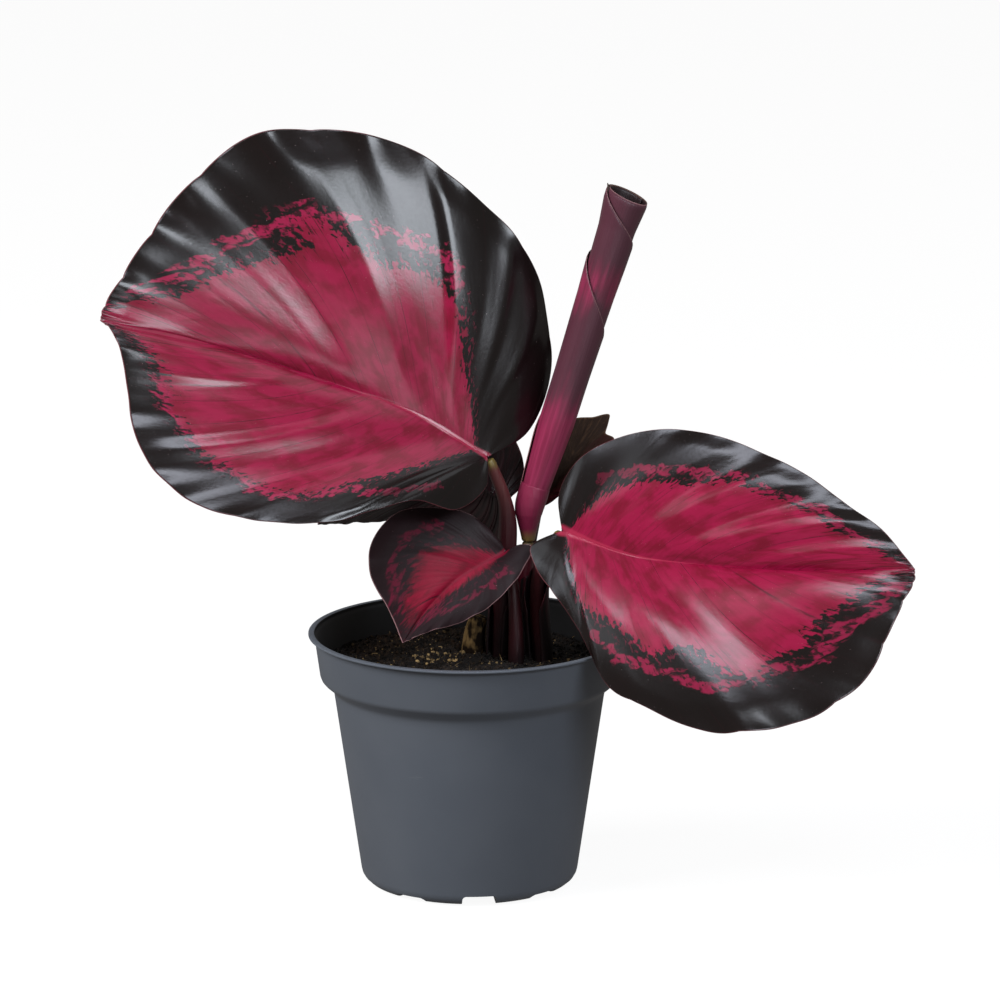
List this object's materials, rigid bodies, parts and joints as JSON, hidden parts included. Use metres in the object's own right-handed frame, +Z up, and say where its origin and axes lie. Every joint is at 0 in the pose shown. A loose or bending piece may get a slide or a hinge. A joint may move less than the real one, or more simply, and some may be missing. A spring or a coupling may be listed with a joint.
{
  "type": "potted calathea",
  "caption": "Small house plant in a tapered plastic nursery pot: broad dark leaves with crimson middles on short stalks and a new leaf still rolled, standing in potting soil.",
  "frame": {"origin": "middle of the pot's flat underside, on the surface that it stands on", "axes": "+Z up, +X towards the lower large leaf and along the plant's greatest spread, -Y towards the front, where the small leaf hangs over the rim"},
  "size_m": [0.2973, 0.1305, 0.2816],
  "materials": {
    "pot": "matt moulded plastic, slate grey",
    "soil": "loose moist peat and bark, matt",
    "leaf": "satin blade, near-black edge and crimson middle",
    "old_leaf": "dull, browned and dry",
    "rolled_leaf": "satin underside of a young blade, purple",
    "stalk": "satin, dark maroon",
    "dry_stub": "dry and fibrous"
  },
  "bodies": {
    "root": {"pot": "pot", "soil": "soil", "left_leaf": "leaf", "right_leaf": "leaf", "small_leaf": "leaf", "back_leaf": "leaf", "trimmed_leaf": "old_leaf", "rolled_leaf": "rolled_leaf", "left_stalk": "stalk", "right_stalk": "stalk", "small_stalk": "stalk", "back_stalk": "stalk", "trimmed_stalk": "stalk", "rolled_stalk": "stalk", "crown_stub": "dry_stub"}
  },
  "joints": []
}
